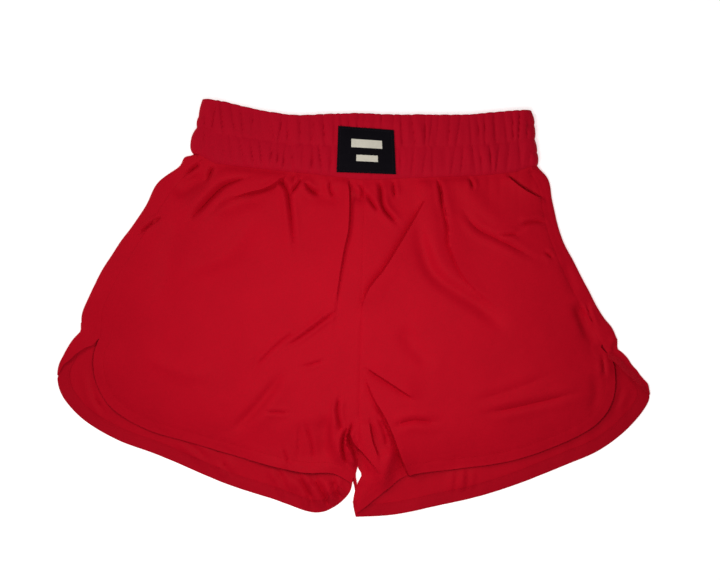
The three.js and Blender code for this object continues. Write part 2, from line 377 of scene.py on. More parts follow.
# Each crease: its kind, size and width, then the points it runs through.
#   pinch   a sharp valley between two raised lips
#   lap     one fold lying over the other side; positive: the left of its direction is higher
#   valley  a soft hollow
#   ridge   a soft fold standing up
# It fades at both ends, or only towards its end, or only towards its start where it says so.
CREASES = (
    # Radiating from the waist seam on the wearer's right.
    ("lap", -3.0, 9, (-56, 128), (-70, 116), (-82, 109.5), (-97, 105.5), (-118, 99)),
    ("pinch", 1.1, 2.0, (-66, 124), (-78, 117), (-92, 112.5)),
    ("pinch", 2.3, 4.6, (-84, 124), (-106, 118), (-122, 111), (-140, 93), (-158, 74)),
    ("valley", 1.6, 6, (-138, 124), (-152, 113), (-168, 103)),
    ("valley", 1.3, 7, (-76, 104), (-108, 96), (-134, 86)),
    ("valley", 1.2, 13, (-174, 104), (-146, 116), (-112, 117)),
    ("valley", 1.5, 8, (-46, 110), (-22, 104), (-4, 104)),
    ("pinch end", 1.6, 2.6, (-130, 130), (-135, 120), (-142, 115)),
    ("pinch end", 1.6, 2.6, (-144, 132), (-155, 124), (-163, 121)),
    ("pinch end", 1.8, 2.8, (-67, 118), (-61, 108), (-59, 96), (-57, 79), (-52, 36)),
    ("pinch end", 1.3, 2.0, (-55, 124), (-56, 110)),
    ("pinch", 1.9, 2.6, (-46, 122), (-52, 113), (-60, 103)),
    ("pinch", 1.6, 2.6, (-46, 118), (-40, 110), (-30, 104)),
    ("pinch", 1.0, 2.0, (-20, 122), (-22, 110), (-16, 100)),
    ("ridge end", 1.6, 9, (-84, 122), (-104, 112), (-128, 95), (-150, 78)),
    ("ridge end", 1.2, 8, (-112, 128), (-132, 112), (-152, 98)),
    ("ridge end", 1.1, 7, (-48, 116), (-50, 90), (-47, 62)),
    # The two edges of the flat wedge below the label, and the centre seam under it.
    ("lap end", -2.2, 9, (-5, 120), (-3, 103), (-4, 73), (-9, 49), (-16, 2), (-20, -40)),
    ("lap", 2.2, 11, (80, 122), (66, 101), (52, 76), (29, 38), (12, 15), (2, -18)),
    # Radiating from the waist seam on the wearer's left.
    ("pinch", 1.9, 2.6, (24, 124), (25, 108), (28, 92), (44, 75)),
    ("pinch", 1.5, 2.4, (10, 108), (17, 97), (25, 87)),
    ("pinch", 1.2, 2.2, (37, 124), (37, 112), (39, 99)),
    ("valley", 1.6, 5, (-3, 106), (6, 103), (16, 101)),
    ("pinch", 1.0, 2.0, (4, 118), (8, 108), (6, 98)),
    ("pinch end", 1.6, 2.4, (79, 122), (82, 100), (86, 84), (88, 58)),
    ("lap end", 2.1, 9, (78, 119), (81, 108), (83, 91), (87, 74), (88, 57), (103, 26), (134, -1),
     (156, -18)),
    ("valley", 2.1, 7, (60, 90), (66, 50), (79, 27), (122, -3), (148, -32)),
    ("ridge end", 1.6, 8, (66, 112), (70, 80), (74, 52), (92, 22), (120, 4)),
    ("pinch", 1.9, 2.2, (103, 126), (108, 117), (110, 108)),
    ("lap", -2.2, 8, (132, 131), (157, 110), (182, 98)),
    ("pinch", 0.9, 3.5, (97, 96), (112, 75), (134, 63), (174, 43)),
    ("ridge end", 1.3, 8, (98, 120), (118, 92), (142, 74), (168, 62)),
    ("pinch", 1.0, 3.0, (152, 76), (166, 80), (180, 79)),
    ("pinch", 0.8, 2.4, (132, 67), (154, 69)),
    ("pinch", 0.9, 2.2, (175, 53), (185, 46)),
    # The deep fold beside the wearer's left side seam.
    ("valley", 0.8, 5, (192, 46), (200, 26), (206, 8)),
    ("valley", 2.6, 5.0, (204, 8), (211, -8), (217, -22), (226, -34)),
    ("pinch", 0.8, 2.0, (214, 8), (219, -8), (225, -20)),
    ("pinch", 0.7, 1.8, (209, 4), (214, -8), (219, -18)),
    ("pinch", 0.6, 2.6, (229, -40), (231, -52), (231, -66)),
    ("valley", 0.8, 5, (222, -58), (224, -80), (216, -98)),
    # Across the body.
    ("pinch", 0.85, 1.9, (-10, 2), (-24, -8), (-40, -20), (-66, -38)),
    ("pinch", 0.5, 1.8, (-22, -5), (-46, -24)),
    ("pinch", 0.55, 2.0, (-46, -16), (-70, -33), (-98, -62)),
    ("valley", 1.8, 5, (-60, -54), (-88, -90), (-118, -120)),
    ("ridge", 0.9, 9, (-54, -50), (-80, -92), (-102, -120)),
    ("pinch", 0.45, 2.0, (-52, -55), (-22, -46)),
    ("pinch", 0.5, 2.0, (-84, -95), (-56, -96)),
    ("pinch", 1.3, 2.0, (-201, 67), (-188, 77), (-174, 87)),
    ("valley", 1.5, 9, (-163, 34), (-117, 49), (-84, 90)),
    ("valley", 1.4, 11, (-150, 92), (-168, 54), (-174, -4)),
    ("lap", 1.9, 12, (7, -52), (32, -68), (61, -87)),
    ("lap start", 3.2, 12, (9, -56), (14, -73), (20, -86), (29, -101), (36, -117), (43, -136),
     (50, -153)),
    ("pinch", 0.45, 5.0, (104, -86), (140, -77), (190, -58)),
    ("pinch", 0.8, 4.0, (112, -98), (150, -91), (218, -75)),
    ("pinch", 1.0, 4.0, (32, -109), (56, -103), (82, -106)),
    ("valley", 1.1, 8, (42, -14), (58, -38), (76, -58)),
    ("ridge", 0.9, 8, (-200, -40), (-150, -60), (-120, -52)),
    # Crumpled cloth at the crotch.
    ("pinch", 1.2, 2.4, (-12, -78), (-15, -92), (-12.5, -108), (-9, -118)),
    ("ridge", 1.3, 4.0, (-18, -92), (-19, -110), (-16, -130), (-12, -148)),
    ("valley", 1.5, 7, (-25, -96), (-27, -120), (-24, -146)),
    ("pinch", 1.9, 1.9, (-3, -104), (-9.5, -119), (-9.5, -134), (-4, -148)),
    ("pinch", 2.0, 1.9, (0, -102), (-4.5, -119), (0, -131), (6, -142)),
    ("ridge", 3.2, 5.5, (5, -98), (11, -119), (19, -136), (27, -160)),
    ("lap", 2.6, 7, (-5, -110), (0, -124), (8, -133), (16, -142), (27, -155)),
    ("ridge", 2.2, 3.0, (-4, -126), (-1, -136), (1, -148)),
    ("lap", -2.2, 5, (14, -98), (18, -121), (23, -136), (22, -152)),
    ("pinch", 0.8, 2.2, (20, -96), (28, -114), (32, -132)),
    ("pinch", 0.7, 2.2, (17, -84), (28, -102), (38, -126)),
    ("valley", 2.8, 4.5, (0, -128), (6, -142), (10, -158)),
    ("valley", 1.2, 12, (-46, -100), (-41, -128), (-36, -152)),
    ("ridge", 2.6, 6.0, (36, -124), (30, -146), (24, -172)),
    ("pinch", 0.6, 2.2, (-46, -102), (-39, -124), (-36, -146)),
    ("pinch", 0.4, 2.2, (-49, -104), (-51, -142)),
    ("pinch", 0.5, 2.0, (-66, -126), (-58, -148)),
    ("ridge", 1.9, 12, (-104, -138), (-60, -150), (-20, -152), (-2, -146)),
)

LAP_EDGE = 0.9  # half the width of the drop at a lap's edge


def fade(along, ends=""):
    """How strong a crease is along its length."""
    if ends == "end":
        return eased((1 - along) / 0.85)
    if ends == "start":
        return np.clip(along / 0.8, 0, 1) ** 0.8
    return eased(along / 0.3) * eased((1 - along) / 0.35)


def crease_height(points, kind, size, width, ends, line):
    distance, along = off_line(points, line)
    strength = fade(along, ends)
    away = np.abs(distance)
    if kind == "valley":
        return -size * strength * bell(away, width)
    if kind == "ridge":
        return size * strength * bell(away, width)
    if kind == "pinch":
        cut = np.exp(-away / (0.55 * width))
        lips = 0.62 * bell(away - 1.5 * width, 1.1 * width)
        return size * strength * (lips - cut)
    high = distance * np.sign(size)
    edge = eased((high + LAP_EDGE) / (2 * LAP_EDGE))
    upper = np.exp(-np.maximum(high, 0) / width)
    lower = -0.7 * np.exp(np.minimum(high, 0) / (0.28 * width))
    return abs(size) * strength * (edge * upper + (1 - edge) * lower)


NOISE_GAIN = 1.6  # brings the noise to about -1 to 1


def waves(points, scale, seed):
    """Smooth uneven waves of about that length, from -1 to 1."""
    made = [noise.noise((x / scale, y / scale, seed)) for x, y in points]
    return np.array(made) * NOISE_GAIN


# ---------------------------------------------------------------- where the front cloth lies

SIDES = ("right", "left")
front_rims = {s: rim(f"{s}_front_panel") for s in SIDES}
hem_spines = {s: spine(f"{s}_front_hem_stitching") for s in SIDES}
back_spines = {s: spine(f"{s}_back_hem_stitching") for s in SIDES}
band_rims = {s: rim(f"{s}_waistband_casing") for s in SIDES}
BAND_LEFT = band_rims["right"][:, 0].min()
BAND_RIGHT = band_rims["left"][:, 0].max()
HEM_DEPTH = 9.6  # from the hem's edge to its row of stitches


def band_span(x, side):
    """The band's lower and upper edge in plan at each x, from its flat CAD faces."""
    ring = band_rims[side]
    low, high = np.full(len(x), 1e9), np.full(len(x), -1e9)
    for (ax, ay), (bx, by) in zip(ring, np.roll(ring, -1, 0)):
        if abs(bx - ax) < 1e-6:
            continue
        share = (x - ax) / (bx - ax)
        hit = (share >= -1e-6) & (share <= 1 + 1e-6)
        y = ay + share * (by - ay)
        low = np.where(hit, np.minimum(low, y), low)
        high = np.where(hit, np.maximum(high, y), high)
    return low, high


def hem_edge(side):
    """The stretch of the front panel's outline that its hem stitching follows."""
    ring, near = near_first(front_rims[side], hem_spines[side], HEM_DEPTH + 3)
    return ring[: int(near.sum())]


def side_lines(side):
    """The fold line and the seam line of the back panel's return, from the waist down."""
    ring, near = near_first(rim(f"{side}_back_panel"), closed(front_rims[side]), 1.0)
    return [line if line[0][1] > line[-1][1] else line[::-1] for line in (ring[~near], ring[near])]


hem_edges = {s: hem_edge(s) for s in SIDES}
returns = {s: side_lines(s) for s in SIDES}
WAIST_SPANS = {"right": (BAND_LEFT, 9), "left": (10.5, BAND_RIGHT)}
waist_points = np.vstack([
    np.stack([x, band_span(x, s)[0]], 1)
    for s, x in ((s, np.linspace(*WAIST_SPANS[s], 24)) for s in SIDES)
])
WAIST_LOW = 114.0  # only the panels' waist edges lie above this y

REST_HEIGHT = 10.4  # the front cloth's height over the middle of each leg
LOW_HEIGHT = 2.6
SIDE_FALL = 0.58  # how much of its rise the cloth loses at the side folds
HEM_FALL = 0.78  # and at the hems
WAIST_SEAM_HEIGHT = 9.4
BACK_WAIST_HEIGHT = 2.6
WAIST_REACH = 4.5  # within which the cloth comes to the waist seam's height
SEAM_GROOVE = 0.4
CREASE_DEPTH = 2.1
# The heights past which the front cloth levels off, and how much further it can get.
LOW_LEVEL, LOW_ROOM = 4.0, 1.6
HIGH_LEVEL, HIGH_ROOM = 11.8, 1.9
PUCKER_HEIGHT = 2.6  # of the gathers under the waist seam
SIDE_REACH, HEM_REACH = 19, 26  # within which the cloth falls to its side folds and hems
SEAM_WIDTH = 1.1  # of the groove along the side seams
ROW_DEPTH, ROW_WIDTH = 0.28, 1.2  # how far and how wide the hem's stitches press the cloth in
# Uneven swells of the front cloth, all over, fine ones, and beside the hems: size, length, seed.
SWELLS = (0.9, 90.0, 11.0), (0.4, 34.0, 5.0)
FINE_SWELLS = ((0.1, 9.0, 8.0),)
HEM_SWELLS = (0.25, 7.0, 3.1), (0.55, 19.0, 9.4)
# The back cloth: its height on the floor and its swells, its swells beside the hems and how
# far they reach, the depth and width of its hem's row of stitches, and its creases' depth.
BACK_REST, BACK_SWELL = 0.62, 0.35
BACK_HEM_SWELL, BACK_HEM_REACH = 0.55, 26
BACK_ROW_DEPTH, BACK_ROW_WIDTH = 0.22, 0.9
BACK_CREASE_DEPTH = 1.8


def brought_to(level, height, to_waist):
    """The height, brought to a level where the cloth is sewn to the waistband."""
    return height + (level - height) * np.exp(-((to_waist / WAIST_REACH) ** 1.5))


def gather_positions(seed, low, high, closest, furthest):
    """The valleys between a channel's gathers, their heights and how far each leans."""
    rng = random.Random(seed)
    made = [low - 20.0]
    while made[-1] < high + 20:
        made.append(made[-1] + rng.uniform(closest, furthest))
    sizes = [rng.uniform(0.45, 1.0) for _ in made]
    leans = [rng.uniform(-1.0, 1.0) for _ in made]
    return np.array(made), np.array(sizes), np.array(leans)


def gathers(x, channel, lean=0.0):
    """Rounded humps with sharp valleys between them, 0 to 1, along a gathered edge."""
    valleys, sizes, leans = channel
    at = valleys + leans * lean
    k = np.clip(np.searchsorted(at, x) - 1, 0, len(at) - 2)
    share = np.clip((x - at[k]) / (at[k + 1] - at[k]), 0, 1)
    return sizes[k] * (4 * share * (1 - share)) ** 0.45


LOWER_CHANNEL = gather_positions(SEED, -330, 330, 5.5, 12.5)
UPPER_CHANNEL = gather_positions(SEED + 4, -330, 330, 5.0, 11.5)


def swells(points, table):
    return sum(size * waves(points, length, seed) for size, length, seed in table)


def add_creases(height, points):
    for name, size, width, *line in CREASES:
        kind, _, ends = name.partition(" ")
        line = smooth_line(line, 3.0)
        reach = 5 * width + 4
        near = ((points > line.min(0) - reach) & (points < line.max(0) + reach)).all(1)
        if near.any():
            size *= CREASE_DEPTH
            height[near] += crease_height(points[near], kind, size, width, ends, line)


def level_off(height):
    """Lets the height past its two levels only a little."""
    low, high = height < LOW_LEVEL, height > HIGH_LEVEL
    height[low] = LOW_LEVEL - LOW_ROOM * (1 - np.exp((height[low] - LOW_LEVEL) / LOW_ROOM))
    height[high] = HIGH_LEVEL + HIGH_ROOM * (1 - np.exp((HIGH_LEVEL - height[high]) / HIGH_ROOM))


def front_height(points):
    """The height of the front cloth's outer face at points in plan."""
    to_side, to_seam, to_hem = (
        np.minimum(*[away_from(points, line) for line in lines])
        for lines in (*zip(*returns.values()), hem_edges.values())
    )
    to_waist = away_from(points, waist_points)
    rise = 1 - SIDE_FALL * np.exp(-to_side / SIDE_REACH)
    rise *= 1 - HEM_FALL * np.exp(-((to_hem / HEM_REACH) ** 1.4))
    height = LOW_HEIGHT + (REST_HEIGHT - LOW_HEIGHT) * rise
    height += swells(points, SWELLS) * rise
    height += swells(points, FINE_SWELLS)
    height += swells(points, HEM_SWELLS) * bell(to_hem, HEM_REACH / 2)
    height -= ROW_DEPTH * bell(to_hem - HEM_DEPTH, ROW_WIDTH)
    height -= SEAM_GROOVE * 0.5 * bell(to_seam, SEAM_WIDTH)
    add_creases(height, points)
    pucker = gathers(points[:, 0], LOWER_CHANNEL, 3.0)
    long_reach = 8 + 12 * np.abs(waves(points * [1, 0.05], 23.0, 2.0))
    height += PUCKER_HEIGHT * (pucker - 0.5) * np.exp(-to_waist / long_reach)
    below = np.clip((10 - points[:, 1]) / 30, 0, 1)
    height -= SEAM_GROOVE * below * bell(past_fold(points), 1.6)
    level_off(height)
    return brought_to(WAIST_SEAM_HEIGHT, height, to_waist)


def back_height(points):
    """The height of the back cloth's inner face at points in plan."""
    height = BACK_REST + BACK_SWELL * (waves(points, 38.0, 21.0) + 0.6)
    for side in SIDES:
        to_row = away_from(points, back_spines[side])
        uneven = 0.5 + 0.9 * waves(points * [1.0, 0.55], 13.0, 31.0)
        height += BACK_HEM_SWELL * bell(to_row, BACK_HEM_REACH) * uneven
        height -= BACK_ROW_DEPTH * bell(to_row, BACK_ROW_WIDTH)
    for size, width, *line in BACK_CREASES:
        distance, along = off_line(points, smooth_line(line, 3.0))
        away = np.abs(distance)
        cut = np.exp(-away / (0.6 * width))
        lips = 0.9 * bell(away - 1.5 * width, 1.2 * width)
        height += BACK_CREASE_DEPTH * size * fade(along) * (lips - 0.6 * cut)
    height = np.maximum(height, CLOTH_THICKNESS + 0.05)
    return brought_to(BACK_WAIST_HEIGHT, height, away_from(points, waist_points))


# Size and width, then points as above.
BACK_CREASES = (
    (1.2, 3.0, (-165, -117), (-146, -130), (-130, -144)),
    (1.1, 3.0, (-124, -139), (-113, -155)),
    (1.6, 3.0, (-76, -142), (-66, -158), (-60, -176)),
    (2.2, 3.0, (-56, -150), (-44, -166), (-36, -188)),
    (2.4, 2.8, (-38, -154), (-28, -170), (-22, -188)),
    (2.2, 2.8, (-20, -152), (-16, -170), (-8, -178)),
    (1.1, 2.6, (96, -148), (94, -172)),
    (1.0, 2.6, (106, -146), (105, -170)),
    (1.2, 3.0, (-246, -50), (-240, -80), (-226, -104)),
    (0.9, 3.0, (250, -70), (240, -96)),
)


# ---------------------------------------------------------------- materials


def node(tree, kind, **values):
    """A new node with its inputs, or else its settings, given by name."""
    made = tree.nodes.new(kind)
    for name, value in values.items():
        if name in made.inputs:
            made.inputs[name].default_value = value
        else:
            setattr(made, name, value)
    return made


def ramp(tree, source, low, high, start=0.3, end=0.7):
    """The source's range from start to end, turned into one from low to high."""
    values = {"From Min": start, "From Max": end, "To Min": low, "To Max": high}
    made = node(tree, "ShaderNodeMapRange", **values)
    tree.links.new(source, made.inputs["Value"])
    return made.outputs["Result"]


def math_node(tree, operation, a, b):
    made = node(tree, "ShaderNodeMath", operation=operation)
    for socket, value in zip(made.inputs, (a, b)):
        if isinstance(value, (int, float)):
            socket.default_value = value
        else:
            tree.links.new(value, socket)
    return made.outputs[0]


WAVE_PERIOD = 0.314  # of a wave texture whose scale is 1


def woven(name, colour, roughness, thread=0.42, bump=0.25, mottle=0.03, sheen=0.10,
          slub=0.04, rib=None):
    """A plain weave: warp and weft threads, slubs along them, uneven dye and wear, and painted
    shade between the threads.
    thread is the spacing of the threads in millimetres."""
    material = bpy.data.materials.new(name)
    material.use_nodes = True
    tree = material.node_tree
    shader = tree.nodes["Principled BSDF"]
    place = tree.nodes.new("ShaderNodeTexCoord").outputs["UV"]

    def textured(kind, scale=(1, 1, 1), **values):
        mapping = node(tree, "ShaderNodeMapping", Scale=scale)
        tree.links.new(place, mapping.inputs["Vector"])
        made = node(tree, kind, **values)
        tree.links.new(mapping.outputs[0], made.inputs["Vector"])
        return made.outputs["Fac"]

    def added(total, *others):
        for other in others:
            total = math_node(tree, "ADD", total, other)
        return total

    periods = UV_SCALE / thread * WAVE_PERIOD / 2
    warp = textured("ShaderNodeTexWave", Scale=periods, bands_direction="X")
    weft = textured("ShaderNodeTexWave", Scale=periods, bands_direction="Y")
    weave = math_node(tree, "MULTIPLY", warp, weft)
    if rib:
        ribs = UV_SCALE / rib * WAVE_PERIOD
        weave = added(weave, textured("ShaderNodeTexWave", Scale=ribs, bands_direction="Y"))
    slubs = added(textured("ShaderNodeTexNoise", (14, 260, 1), Scale=1.0, Detail=2.0),
                  textured("ShaderNodeTexNoise", (260, 14, 1), Scale=1.0, Detail=2.0))
    broad = textured("ShaderNodeTexNoise", Scale=2.6, Detail=3.0, Roughness=0.55)
    fine = textured("ShaderNodeTexNoise", Scale=38.0, Detail=3.0, Roughness=0.6)
    # The weave's term darkens the colour where the weave's relief is low: painted shade between
    # the threads.
    tone = added(
        ramp(tree, broad, 1 - mottle, 1 + mottle), ramp(tree, slubs, -slub, slub, 0.7, 1.3),
        ramp(tree, fine, -0.03, 0.03), ramp(tree, weave, -0.05, 0.03, 0.0, 1.0),
    )
    tint = node(tree, "ShaderNodeVectorMath", operation="SCALE")
    tint.inputs[0].default_value = colour
    tree.links.new(tone, tint.inputs["Scale"])
    tree.links.new(tint.outputs[0], shader.inputs["Base Color"])
    rough = ramp(tree, fine, roughness - 0.06, roughness + 0.06)
    tree.links.new(rough, shader.inputs["Roughness"])
    height = math_node(tree, "ADD", weave, math_node(tree, "MULTIPLY", slubs, 0.8))
    relief = node(tree, "ShaderNodeBump", Strength=bump, Distance=0.00012)
    tree.links.new(height, relief.inputs["Height"])
    tree.links.new(relief.outputs["Normal"], shader.inputs["Normal"])
    shader.inputs["Specular IOR Level"].default_value = 0.03
    shader.inputs["Sheen Weight"].default_value = sheen
    shader.inputs["Sheen Roughness"].default_value = 0.45
    shader.inputs["Sheen Tint"].default_value = (*[min(1.0, c * 1.8) for c in colour], 1)
    return material


# Each finish is a material and the record's slot that it belongs to.
BODY = woven("body_cloth", (0.46, 0.0022, 0.0125), 0.60), "body_cloth"
BAND = woven("band_cloth", (0.43, 0.0025, 0.0155), 0.63), "band_cloth"
# The facing's colour is set darker than the body cloth's: painted shade along the hems.
FACING = woven("facing_cloth", (0.415, 0.0022, 0.0118), 0.64), "facing_cloth"
THREAD = woven("thread_red", (0.45, 0.0026, 0.0115), 0.55, thread=0.2, bump=0.4), "thread"
LABEL = woven("label_black", (0.0034, 0.0026, 0.0044), 0.62, thread=0.28, bump=0.5,
              mottle=0.15, sheen=0.1, rib=0.6), "label_weave"
CREAM = woven("label_cream", (0.62, 0.58, 0.49), 0.7, thread=0.28, bump=0.6,
              mottle=0.05), "care_satin"
LABEL_THREAD = woven("label_thread", (0.012, 0.010, 0.014), 0.5, thread=0.2,
                     bump=0.4), "label_thread"
ELASTIC = woven("elastic_white", (0.78, 0.76, 0.71), 0.85, thread=0.7, bump=0.8,
                rib=1.1), "elastic"
SATIN = woven("care_satin", (0.86, 0.85, 0.82), 0.4, thread=0.2, bump=0.2,
              mottle=0.02), "care_satin"


# ---------------------------------------------------------------- body panels

CORNER = 38.0  # a line that turns by more degrees than this at a point has a corner there
SEWN_OVERLAP = 1.2  # how far the left half's panels run on past the fold line
TUCK_DROP = 0.4  # how far a tucked edge lies under its neighbour
LEG_GAP = {"right": -1.8, "left": 4.6}  # how far the legs' inner edges part at the crotch
LEG_GAP_PLACE = (3.5, -154.0)
LEG_GAP_REACH = 6.0


def turns(steps):
    """How many degrees each step turns from the one before it."""
    headings = np.degrees(np.arctan2(steps[:, 1], steps[:, 0]))
    return np.abs((headings - np.roll(headings, 1) + 180) % 360 - 180)


def smooth_path(path, step):
    """A smooth line through the points, split where it turns a corner."""
    corners = np.where(turns(np.diff(path, axis=0))[1:] > CORNER)[0] + 1
    corners = [0, *corners, len(path) - 1]
    parts = [smooth_line(path[a : b + 1], step)[:-1] for a, b in zip(corners, corners[1:])]
    return np.vstack([*parts, path[-1:]])


def smooth_ring(ring, step):
    ring = np.roll(ring, -int(np.argmax(turns(np.roll(ring, -1, 0) - ring))), 0)
    return smooth_path(closed(ring), step)[:-1]


def closed_up(ring, side):
    """Moves the edge beside the fold line onto it, the left half's a little past it."""
    past = past_fold(ring)
    sewn = np.abs(past) < 1.0
    past += SEWN_OVERLAP if side == "left" else 0.0
    ring = ring.copy()
    ring[sewn] -= fold_line()[1] * past[sewn, None]
    return ring


def parted(border, side):
    """Opens a small gap between the legs' inner edges just below the crotch."""
    x, y = ((border - LEG_GAP_PLACE) / LEG_GAP_REACH).T
    gap = np.exp(-(y**2) - x**2)
    border = border.copy()
    border[:, 0] += gap * LEG_GAP[side]
    return border


def under_band(plan):
    """Which points belong to the edge that is tucked in under the waistband."""
    return (plan[:, 1] > 112) & (away_from(plan, waist_points) < WAIST_TUCK + 0.4)


ROW_STEP = 1.8


def crease_rows():
    """Lines along the sharp creases, for rows of points of their own."""
    rows = []
    for name, _, _, *line in CREASES:
        if name.startswith("pinch"):
            rows.append(smooth_line(line, ROW_STEP))
        if name.startswith("lap"):
            middle = smooth_line(line, ROW_STEP)
            along = unit(np.gradient(middle, axis=0))
            across = np.stack([-along[:, 1], along[:, 0]], 1)
            rows += [middle + across * LAP_EDGE, middle - across * LAP_EDGE]
    return rows


SIDE_TUCK = 0.9  # how far the front cloth's edges run on under their neighbours
SLIT_TUCK = 2.4
WAIST_TUCK = 2.2
CORNER_TUCK = 5.0


def front_panel(side):
    """The front cloth, its side edge under the return's and its waist edge under the band."""
    border = parted(smooth_ring(closed_up(front_rims[side], side), FINE_STEP), side)
    fold, seam = returns[side]
    at_seam = away_from(border, seam) < 1.2
    nearest = fold[np.linalg.norm(border[:, None] - fold[None], axis=2).argmin(1)]
    to_slit = np.linalg.norm(border - seam[-1], axis=1)
    tuck = np.maximum(at_seam * (SIDE_TUCK + 0.3), SLIT_TUCK * bell(to_slit, 6))
    border = border + unit(nearest - border) * tuck[:, None]
    border[(border[:, 1] > WAIST_LOW) & ~at_seam, 1] += WAIST_TUCK
    border[:, 1] += CORNER_TUCK * bell(np.linalg.norm(border - seam[0], axis=1), 8)
    plan, faces = fill(border, FINE_STEP, crease_rows())
    height = front_height(plan)
    past = away_from(plan, closed(front_rims[side])) * ~inside(plan, front_rims[side])
    tucked = under_band(plan)
    height -= TUCK_DROP * np.clip(past / SIDE_TUCK, 0, 1) * ~tucked
    height[tucked & (past > 0)] = WAIST_SEAM_HEIGHT + 0.15
    if side == "left":
        height -= TUCK_DROP * np.clip(-past_fold(plan) / 0.6, 0, 1)
    add_sheet(f"{side}_front_cloth", np.column_stack([plan, height]), faces, CLOTH_THICKNESS,
              BODY, f"{side}_front_panel")


def weld(points, faces):
    """The same faces with points in one place joined, and without faces that this empties."""
    known = {}
    ids = [known.setdefault(tuple(np.round(p, 3)), len(known)) for p in points]
    welded = []
    for face in faces:
        face = [ids[i] for i in face]
        face = [a for a, b in zip(face, face[1:] + face[:1]) if a != b]
        if len(face) > 2:
            welded.append(tuple(face))
    return np.array(list(known)), welded


RETURN_TURNS = 12
RETURN_STEP = 2.0
RETURN_START = 6.0  # how far the return runs on under the waistband
# Where the side folds swell outwards: share of the way down, how far and over what share.
BULGES = {
    "right": ((0.065, 3.6, 0.028), (0.24, 4.5, 0.10), (0.55, 1.0, 0.15), (0.97, 2.0, 0.05)),
    "left": ((0.12, 2.6, 0.07), (0.3, 1.2, 0.1), (0.6, 1.5, 0.1), (0.95, 2.0, 0.05)),
}
# At the side slits: how far the fold and the seam run on, then the flap where the back hem
# comes round to the front: its start and length along the outline, and how fast it narrows.
SLITS = {"right": (0.8, 10.0, 0.0, 56.0, 1.0), "left": (6.0, 10.0, 6.0, 62.0, 0.35)}
# The flap's last height, how far it slopes outwards, and how far its outline wanders.
FLAP_END = {"right": (2.0, 0.0, 0.0), "left": (2.6, 12.0, 2.4)}
FLAP_CROWN = 0.8  # below 1 the slope is steepest at the outer edge
FLAP_REACH = 2.4  # how far the flap's fold bulges out where it starts
FLAP_BLEND = 9.0  # the length over which the side fold becomes the flap
LEAST_RISE, FACING_RISE = 1.0, 0.9  # the turned cloth's height over the floor and the facing


def run_on(line, before, after):
    """The line with both ends carried further along their own directions."""
    ends = unit(np.array([line[0] - line[1], line[-1] - line[-2]]))
    return np.vstack([line[0] + ends[0] * before, line, line[-1] + ends[1] * after])


def counted(line, count):
    """The smooth line resampled to a number of points."""
    line = smooth_line(line, 0.5)
    whole, at = np.linspace(0, 1, len(line)), np.linspace(0, 1, count)
    return np.stack([np.interp(at, whole, line[:, k]) for k in (0, 1)], 1)


def below_fold(side):
    """The back panel's outline from its side fold's lower end, by the hem, to its upper end."""
    ring, near = near_first(rim(f"{side}_back_panel", -1), returns[side][0], 0.4)
    rest = np.vstack([ring[int(near.sum()) - 1 :], ring[:1]])
    rest = rest if rest[0][1] < rest[-1][1] else rest[::-1]
    return spaced(smooth_path(closed_up(rest, side), 1.0), 1.0)


def fold_rows(side):
    """Rows along the side fold. Each has the fold's and the cloth edge's place in plan, the
    way out, how far the cloth bulges out, and how far down the flap it is."""
    fold, seam = [run_on(line, RETURN_START, after)
                  for line, after in zip(returns[side], SLITS[side])]
    count = int(step_lengths(fold).sum() / RETURN_STEP)
    fold, seam = counted(fold, count), counted(seam, count)
    share = np.linspace(0, 1, count)
    reach = (top_of(f"{side}_back_panel") - 1.0) / 2 + 0.5 * waves(fold, 21.0, 4.0)
    for place, swell, width in BULGES[side]:
        reach = reach + swell * bell(share - place, width)
    return fold, seam, unit(fold - seam), reach, np.zeros(count)


def flap_rows(side, outline, last_fold, last_seam, last_out, last_reach):
    """Rows along the flap below the side fold, which begin like the side fold's last row."""
    _, _, skipped, length, narrowing = SLITS[side]
    flap = outline[int(skipped) : int(skipped + length)]
    flap = counted(flap, int(length / RETURN_STEP))[1:]
    t = np.linspace(0, 1, len(flap) + 1)[1:]
    along = unit(np.gradient(flap, axis=0))
    outward = np.stack([along[:, 1], -along[:, 0]], 1) * (1 if side == "right" else -1)
    outward *= np.sign((outward * last_out).sum(1)[0])
    wander = FLAP_END[side][2] * np.sin(math.pi * t) * waves(flap, 8.0, 6.0)
    flap = flap + outward * wander[:, None]
    settled = eased(t * length / FLAP_BLEND)
    out = unit(outward * settled[:, None] + last_out * (1 - settled)[:, None])
    reach = FLAP_REACH * np.sqrt(1.05 - t) + 0.5 * waves(flap, 9.0, 6.0)
    fold = flap - out * reach[:, None] * settled[:, None]
    wide = np.linalg.norm(last_fold - last_seam) * (1 - t) ** narrowing
    return fold, fold - out * wide[:, None], out, reach * settled + last_reach * (1 - settled), t


